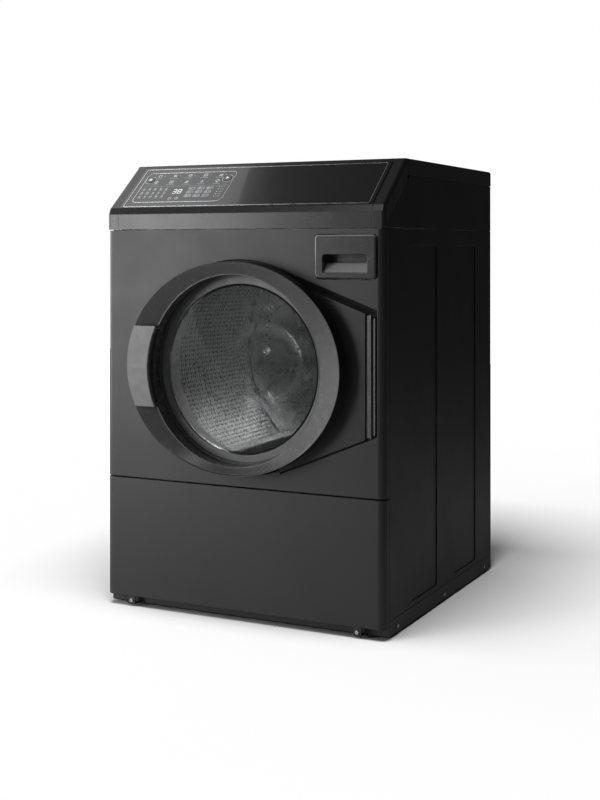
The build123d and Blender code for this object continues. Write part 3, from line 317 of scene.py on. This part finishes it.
# ---- mesh building ----
def make(name, verts, faces, material, body, smooth=False):
    mesh = bpy.data.meshes.new(name)
    mesh.from_pydata([tuple(v) for v in verts], [], faces)
    mesh.validate()
    mesh.materials.append(materials[material])
    if smooth:
        mesh.shade_smooth()
    piece = bpy.data.objects.new(name, mesh)
    bpy.context.scene.collection.objects.link(piece)
    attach(piece, body)
    return piece


class Soup:
    """Collects prisms and lathed rings into one mesh."""

    def __init__(self):
        self.verts = []
        self.faces = []

    def prism(self, outline, place, low, high):
        """A closed outline (u, v) raised from low to high; place maps (u, v, h) to the frame."""
        start = len(self.verts)
        count = len(outline)
        self.verts += [place(u, v, low) for u, v in outline]
        self.verts += [place(u, v, high) for u, v in outline]
        self.faces.append(tuple(start + count + i for i in range(count)))
        self.faces.append(tuple(start + i for i in reversed(range(count))))
        for i in range(count):
            j = (i + 1) % count
            self.faces.append((start + i, start + j, start + count + j, start + count + i))

    def ring(self, outer, inner, place, low, high):
        """A flat band between two outlines of equal length."""
        start = len(self.verts)
        count = len(outer)
        for line, height in ((outer, low), (outer, high), (inner, high), (inner, low)):
            self.verts += [place(u, v, height) for u, v in line]
        for band in range(4):
            after = (band + 1) % 4
            for i in range(count):
                j = (i + 1) % count
                self.faces.append((start + band * count + i, start + band * count + j,
                                   start + after * count + j, start + after * count + i))

    def lathe(self, profile, place, steps=32):
        """Turns (radius, height) points round the axis of place(u, v, h)."""
        start = len(self.verts)
        count = len(profile)
        for k in range(steps):
            turn = 2 * pi * k / steps
            self.verts += [place(r * cos(turn), r * sin(turn), h) for r, h in profile]
        for k in range(steps):
            a, b = start + k * count, start + (k + 1) % steps * count
            for i in range(count - 1):
                self.faces.append((a + i, b + i, b + i + 1, a + i + 1))

    def done(self, name, material, body, slot, smooth=False):
        return make(name, self.verts, self.faces, material, body, smooth)


def circle(u, v, radius, steps=20):
    return [(u + radius * cos(2 * pi * i / steps), v + radius * sin(2 * pi * i / steps)) for i in range(steps)]


def box_line(u0, u1, v0, v1):
    return [(u0, v0), (u1, v0), (u1, v1), (u0, v1)]


def round_box(u0, u1, v0, v1, radius, steps=6):
    """A rounded rectangle, counter-clockwise."""
    corners = ((u1 - radius, v0 + radius, -90), (u1 - radius, v1 - radius, 0),
               (u0 + radius, v1 - radius, 90), (u0 + radius, v0 + radius, 180))
    return [(u + radius * cos(radians(a + 90 * i / steps)), v + radius * sin(radians(a + 90 * i / steps)))
            for u, v, a in corners for i in range(steps + 1)]


def on_slope(u, v, h):
    """u across, v up the slope, h off the slope's base plane."""
    return Vector((u, 0, 0)) + slope_foot + slope_up * v + slope_out * h


def stroke(soup, points, width, low, high, place=on_slope):
    """A line of given width through points, as short prisms."""
    for (u0, v0), (u1, v1) in zip(points, points[1:]):
        along = Vector((u1 - u0, v1 - v0)).normalized()
        across = Vector((-along.y, along.x)) * width / 2
        along = along * width * 0.3
        quad = [(u0 - along.x - across.x, v0 - along.y - across.y),
                (u1 + along.x - across.x, v1 + along.y - across.y),
                (u1 + along.x + across.x, v1 + along.y + across.y),
                (u0 - along.x + across.x, v0 - along.y + across.y)]
        soup.prism(quad, place, low, high)


# ---- control fascia ----
ink_low = fascia_top - 0.00005
ink_high = fascia_top + 0.00012


def arc(u, v, radius, first, last, steps=10):
    return [(u + radius * cos(radians(first + (last - first) * i / steps)),
             v + radius * sin(radians(first + (last - first) * i / steps))) for i in range(steps + 1)]


def icon_circle(soup, u, v, r):
    stroke(soup, arc(u, v, r, 0, 360, 14), r * 0.22, ink_low, ink_high)


def icon_waves(soup, u, v, r):
    for lift in (-0.6, 0.0, 0.6):
        line = [(u - r + 2 * r * i / 8, v + lift * r + 0.18 * r * sin(i * pi / 2)) for i in range(9)]
        stroke(soup, line, r * 0.2, ink_low, ink_high)


def icon_clock(soup, u, v, r):
    icon_circle(soup, u, v, r)
    stroke(soup, [(u, v + r * 0.6), (u, v), (u + r * 0.45, v)], r * 0.2, ink_low, ink_high)


def icon_square(soup, u, v, r):
    stroke(soup, [(u - r, v - r), (u + r, v - r), (u + r, v + r), (u - r, v + r), (u - r, v - r)],
           r * 0.2, ink_low, ink_high)
    soup.prism(circle(u, v, r * 0.35, 10), on_slope, ink_low, ink_high)


def icon_bars(soup, u, v, r):
    for i in range(4):
        left = u - r + i * r * 0.52
        soup.prism(box_line(left, left + r * 0.3, v - r, v - r * 0.4 + i * r * 0.4),
                   on_slope, ink_low, ink_high)


def icon_drop(soup, u, v, r):
    line = arc(u, v - r * 0.3, r * 0.6, -220, 40, 10)
    stroke(soup, line + [(u, v + r), line[0]], r * 0.2, ink_low, ink_high)


icons = (icon_circle, icon_waves, icon_clock, icon_square, icon_bars, icon_drop)


def dashes(soup, u, v, widths, height):
    """A row of short bars that stands for a printed caption."""
    for width in widths:
        soup.prism(box_line(u, u + width, v, v + height), on_slope, ink_low, ink_high)
        u += width + 0.0011


def fascia_graphics():
    """Touch symbols, captions and indicator dots inside the key frame."""
    bright, faint = Soup(), Soup()
    for i in range(5):
        u = -0.258 + 0.0405 * i
        icons[i % 6](bright, u, 0.1175, 0.0042)
        icons[(i + 2) % 6](bright, u, 0.0945, 0.0042)
        dashes(faint, u - 0.010, 0.1075, (0.006, 0.004, 0.007), 0.0013)
        dashes(faint, u - 0.009, 0.0845, (0.005, 0.007, 0.004), 0.0013)
        bright.prism(circle(u + 0.0125, 0.1175, 0.0009, 8), on_slope, ink_low, ink_high)
    stroke(faint, [(-0.284, 0.0785), (-0.063, 0.0785)], 0.0005, ink_low, ink_high)
    for column in range(5):
        for row in range(3):
            u, v = -0.2785 + 0.0150 * column, 0.0690 - 0.0135 * row
            icons[(column + 2 * row) % 6](bright, u, v, 0.0027)
            dashes(faint, u - 0.0045, v - 0.0062, (0.004, 0.0035), 0.0009)
    for column in range(3):
        for row in range(3):
            u, v = -0.1510 + 0.0230 * column, 0.0690 - 0.0135 * row
            bright.ring(round_box(u - 0.0085, u + 0.0085, v - 0.0042, v + 0.0042, 0.002, 4),
                        round_box(u - 0.0080, u + 0.0080, v - 0.0037, v + 0.0037, 0.0015, 4),
                        on_slope, ink_low, ink_high)
            icons[(column + row + 1) % 6](bright, u - 0.0035, v, 0.0023)
            dashes(faint, u + 0.0005, v - 0.0006, (0.0035, 0.0022), 0.0012)
    for row in range(5):
        bright.prism(circle(-0.0815, 0.0725 - 0.0085 * row, 0.0011, 10), on_slope, ink_low, ink_high)
        dashes(faint, -0.0775, 0.0719 - 0.0085 * row, (0.004, 0.0055), 0.0011)
    for u in (-0.197, -0.179):
        bright.ring(circle(u + 0.003, 0.0335, 0.0045), circle(u + 0.003, 0.0335, 0.0040),
                    on_slope, ink_low, ink_high)
    for u in (-0.194, -0.176):
        stroke(bright, [(u - 0.002, 0.0335), (u + 0.002, 0.0335)], 0.0006, ink_low, ink_high)
    stroke(bright, [(-0.176, 0.0315), (-0.176, 0.0355)], 0.0006, ink_low, ink_high)
    for u in (-0.2770, -0.0735):
        bright.ring(circle(u, 0.103, 0.0128, 32), circle(u, 0.103, 0.0122, 32), on_slope, ink_low, ink_high)
    # Symbols and captions use the glowing ink materials, a painted glow rather than real lamps.
    bright.done("touch_symbols", "icon_ink_painted_glow", "cabinet", "silver_line")
    faint.done("touch_captions", "icon_dim_painted_glow", "cabinet", "silver_line")


def key_symbols():
    """A start mark and a stop mark on the two travelling keys."""
    top = fascia_top + 0.0016
    # The key marks use the glowing ink material, a painted glow rather than a lamp.
    start = Soup()
    start.prism([(-0.0765, 0.0985), (-0.0690, 0.1030), (-0.0765, 0.1075)], on_slope, top - 0.0001, top + 0.0001)
    start.done("start_symbol", "icon_ink_painted_glow", "start_key", "silver_line")
    stop = Soup()
    stop.prism(box_line(-0.2805, -0.2735, 0.0995, 0.1065), on_slope, top - 0.0001, top + 0.0001)
    stop.done("stop_symbol", "icon_ink_painted_glow", "stop_key", "silver_line")


def display_digits():
    """Two seven-segment figures."""
    soup = Soup()
    segments = {"a": ((0, 1), (1, 1)), "b": ((1, 1), (1, 0.5)), "c": ((1, 0.5), (1, 0)), "d": ((0, 0), (1, 0)),
                "e": ((0, 0.5), (0, 0)), "f": ((0, 1), (0, 0.5)), "g": ((0, 0.5), (1, 0.5))}
    for left, shown in ((-0.1965, "abcdg"), (-0.1835, "abcdefg")):
        for letter in shown:
            (u0, v0), (u1, v1) = segments[letter]
            points = [(left + (u0 + (u1 - u0) * t) * 0.0085, 0.0515 + (v0 + (v1 - v0) * t) * 0.014)
                      for t in (0.12, 0.88)]
            stroke(soup, points, 0.0016, ink_low, ink_high)
    soup.done("display_digits", "digit_light", "cabinet", "display_glass")


# ---- drum ----
def on_wall(angle, y, radius):
    return (radius * sin(angle), y, drum_z + radius * cos(angle))


def round_axis(u, v, h):
    """A lathe place about the drum's axis, h along Y."""
    return Vector((u, h, drum_z + v))


def perforated_wall(first, last):
    """Sheet with staggered six-sided holes between two places along the axis."""
    around = 168
    turn = 2 * pi / around
    rows = int((last - first) / (turn * drum_inner * 0.866))
    step = (last - first) / rows
    hole = 0.0036
    hexagon = [(cos(radians(60 * k + 30)), sin(radians(60 * k + 30))) for k in range(6)]
    verts, faces = [], []
    sheets = (drum_inner, drum_outer)
    for radius in sheets:
        for j in range(rows + 1):
            verts += [on_wall((i + 0.5 * (j % 2)) * turn, first + j * step, radius) for i in range(around)]

    def corner(layer, i, j):
        return (layer * (rows + 1) + j) * around + i % around

    for j in range(rows):
        odd = j % 2
        for i in range(around):
            middle = (i + 0.75) * turn
            y = first + (j + 0.5) * step
            rims = []
            for radius in sheets:
                rims.append(list(range(len(verts), len(verts) + 6)))
                verts += [on_wall(middle + hole * u / drum_inner, y + hole * v, radius) for u, v in hexagon]
            for layer, rim in enumerate(rims):
                a, b = corner(layer, i, j), corner(layer, i + 1, j)
                d, c = corner(layer, i + odd, j + 1), corner(layer, i + 1 + odd, j + 1)
                loop = ((b, c, rim[0], rim[5]), (c, d, rim[1], rim[0]), (d, rim[2], rim[1]),
                        (d, a, rim[3], rim[2]), (a, b, rim[4], rim[3]), (b, rim[5], rim[4]))
                faces += [face if layer else tuple(reversed(face)) for face in loop]
            faces += [(rims[0][k], rims[0][(k + 1) % 6], rims[1][(k + 1) % 6], rims[1][k]) for k in range(6)]
    return verts, faces


def drum():
    """The turning wall: perforated sheet, plain bands at both ends, front flange and collar."""
    first, last = drum_low[1] + 0.030, drum_high[1] - 0.012
    verts, faces = perforated_wall(first, last)
    wall = make("drum_wall", verts, faces, "drum_steel", "drum")
    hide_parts("drum_cylinder")
    bands = Soup()
    inner = 0.2134
    front = drum_low[1]
    face = front + 0.016
    bands.lathe([(inner, front), (inner, face - 0.004), (inner + 0.004, face), (drum_inner - 0.012, face),
                 (drum_inner - 0.004, face + 0.002), (drum_inner, face + 0.007), (drum_inner, first),
                 (drum_outer, first), (drum_outer, face + 0.004), (drum_outer - 0.003, face),
                 (inner + 0.0052, face - 0.0012), (inner + 0.0012, face - 0.005), (inner + 0.0012, front),
                 (inner, front)], round_axis, 168)
    bands.lathe([(drum_inner, last), (drum_outer, last), (drum_outer, drum_high[1]),
                 (drum_inner, drum_high[1]), (drum_inner, last)], round_axis, 168)
    bands.done("drum_bands", "drum_steel", "drum", "drum_steel", True)


def on_head(radius, angle, h):
    """A place on the drum's back plate, h in front of it."""
    return Vector((radius * cos(radians(angle)), head_face - h, drum_z + radius * sin(radians(angle))))


def head_details():
    """Arcs of paired small holes, drawn as near-black discs of painted shade, between ringed screws whose hex
    sockets are painted shade too, and the hub cap, on the drum's back plate.
    """
    holes, screws, cap = Soup(), Soup(), Soup()
    for middle in (168.5, 48.5, 288.5):
        for i in range(11):
            centre = on_head(0.2500 if i % 2 else 0.2390, middle - 11.0 + 2.2 * i, 0)

            def dot(u, v, h, centre=centre):
                return centre + Vector((u, -h, v))
            # Painted shade: a thin near-black disc stands for each hole's dark opening.
            holes.prism(circle(0, 0, 0.0027, 12), dot, -0.0002, 0.0002)
        for angle in (middle - 14.5, middle + 14.5):
            centre = on_head(0.2470, angle, 0)

            def head(u, v, h, centre=centre):
                return centre + Vector((u, -h, v))
            screws.lathe([(0, 0.0042), (0.003, 0.0042), (0.0052, 0.003), (0.0056, 0.0006), (0.0082, 0.0006),
                          (0.0087, 0.0018), (0.0104, 0.0018), (0.0110, -0.0002)], head, 24)
            # Painted shade: a thin near-black hexagon on the screw head stands for the socket's dark recess.
            socket = [(0.0024 * cos(radians(60 * k)), 0.0024 * sin(radians(60 * k))) for k in range(6)]
            holes.prism(socket, head, 0.0038, 0.0044)
    holes.done("head_holes", "hole_painted_shade", "drum", "drum_steel")
    screws.done("head_screws", "screw_zinc", "drum", "screw_zinc", True)
    cap.lathe([(0.060, head_face - 0.0002), (0.060, head_face - 0.003), (0.056, head_face - 0.006),
               (0.030, head_face - 0.007), (0.0, head_face - 0.007)], round_axis, 64)
    cap.done("hub_cap", "lifter_steel", "drum", "drum_steel", True)


# ---- lights, floor and camera ----
def area_light(name, place, target, size, power):
    data = bpy.data.lights.new(name, "AREA")
    data.shape = "RECTANGLE"
    data.size, data.size_y = size
    data.energy = power
    data.spread = pi
    lamp = bpy.data.objects.new(name, data)
    lamp.location = place
    lamp.rotation_euler = (Vector(target) - Vector(place)).to_track_quat("-Z", "Y").to_euler()
    bpy.context.scene.collection.objects.link(lamp)
    return lamp


def studio():
    world = bpy.data.worlds.new("studio")
    bpy.context.scene.world = world
    world.use_nodes = True
    tree = world.node_tree
    tree.nodes.clear()
    seen = tree.nodes.new("ShaderNodeLightPath")
    white = tree.nodes.new("ShaderNodeBackground")
    dim = tree.nodes.new("ShaderNodeBackground")
    mix = tree.nodes.new("ShaderNodeMixShader")
    out = tree.nodes.new("ShaderNodeOutputWorld")
    where = tree.nodes.new("ShaderNodeTexCoord")
    parts = tree.nodes.new("ShaderNodeSeparateXYZ")
    fall = tree.nodes.new("ShaderNodeMapRange")
    white.inputs[0].default_value = (1, 1, 1, 1)
    dim.inputs[0].default_value = (1, 1, 1, 1)
    fall.inputs["From Min"].default_value = -0.75
    fall.inputs["From Max"].default_value = -0.3
    fall.inputs["To Min"].default_value = 0.42
    fall.inputs["To Max"].default_value = 0.04
    tree.links.new(where.outputs["Generated"], parts.inputs[0])
    tree.links.new(parts.outputs["X"], fall.inputs["Value"])
    tree.links.new(fall.outputs["Result"], dim.inputs[1])
    tree.links.new(seen.outputs["Is Camera Ray"], mix.inputs[0])
    tree.links.new(dim.outputs[0], mix.inputs[1])
    tree.links.new(white.outputs[0], mix.inputs[2])
    tree.links.new(mix.outputs[0], out.inputs[0])

    mesh = bpy.data.meshes.new("floor")
    half = 6.0
    corners = [(-half, -half, 0), (half, -half, 0), (half, half, 0), (-half, half, 0)]
    mesh.from_pydata(corners, [], [(0, 1, 2, 3)])
    s = Shader("floor_white")
    s.main.inputs["Specular IOR Level"].default_value = 0.1
    s.colour(s.blend(s.noise(3, 2), grey(0.13), grey(0.15)))
    s.rough(s.spread(s.noise(5, 2), 0.8, 0.9))
    mesh.materials.append(s.material)
    floor = bpy.data.objects.new("floor", mesh)
    bpy.context.scene.collection.objects.link(floor)
    floor.is_shadow_catcher = True

    key = area_light("key_left", (-1.95, -2.75, 0.85), (0.0, -0.3, 0.4), (1.1, 2.1), 50)
    area_light("far_left", (-2.6, -0.9, 0.9), (0.0, -0.4, 0.5), (1.0, 1.6), 32)
    area_light("front_high", (-0.2, -2.4, 2.7), (0, -0.2, 0.6), (1.2, 0.8), 9)
    area_light("slope_card", (-1.75, 0.15, 2.75), (-0.2, -0.28, 0.94), (0.9, 1.2), 4.5)
    area_light("drum_fill", (-0.05, -0.20, 0.735), (0.03, 0.30, 0.55), (0.10, 0.03), 0.65)
    over = area_light("floor_fill", (0.1, -0.9, 3.3), (0.1, 0.0, 0.0), (1.4, 1.4), 250)
    without_glass = bpy.data.collections.new("without_glass")
    without_glass.objects.link(nodes["door_glass"])
    key.light_linking.receiver_collection = without_glass
    without_glass.collection_objects[0].light_linking.link_state = "EXCLUDE"
    only = bpy.data.collections.new("floor_only")
    only.objects.link(floor)
    over.light_linking.receiver_collection = only


def camera():
    data = bpy.data.cameras.new("camera")
    data.lens = 58.59
    data.sensor_width = 36
    data.shift_x = 0.0012
    data.shift_y = -0.188
    data.dof.use_dof = False
    data.clip_start = 0.05
    view = bpy.data.objects.new("camera", data)
    view.location = (1.368169, -2.790747, 0.804644)
    view.rotation_euler = (radians(90), 0, 0.461)
    bpy.context.scene.collection.objects.link(view)
    bpy.context.scene.camera = view


bpy.context.scene.view_settings.view_transform = "Standard"
camera()
studio()
finish_nodes()
fascia_graphics()
key_symbols()
display_digits()
drum()
head_details()
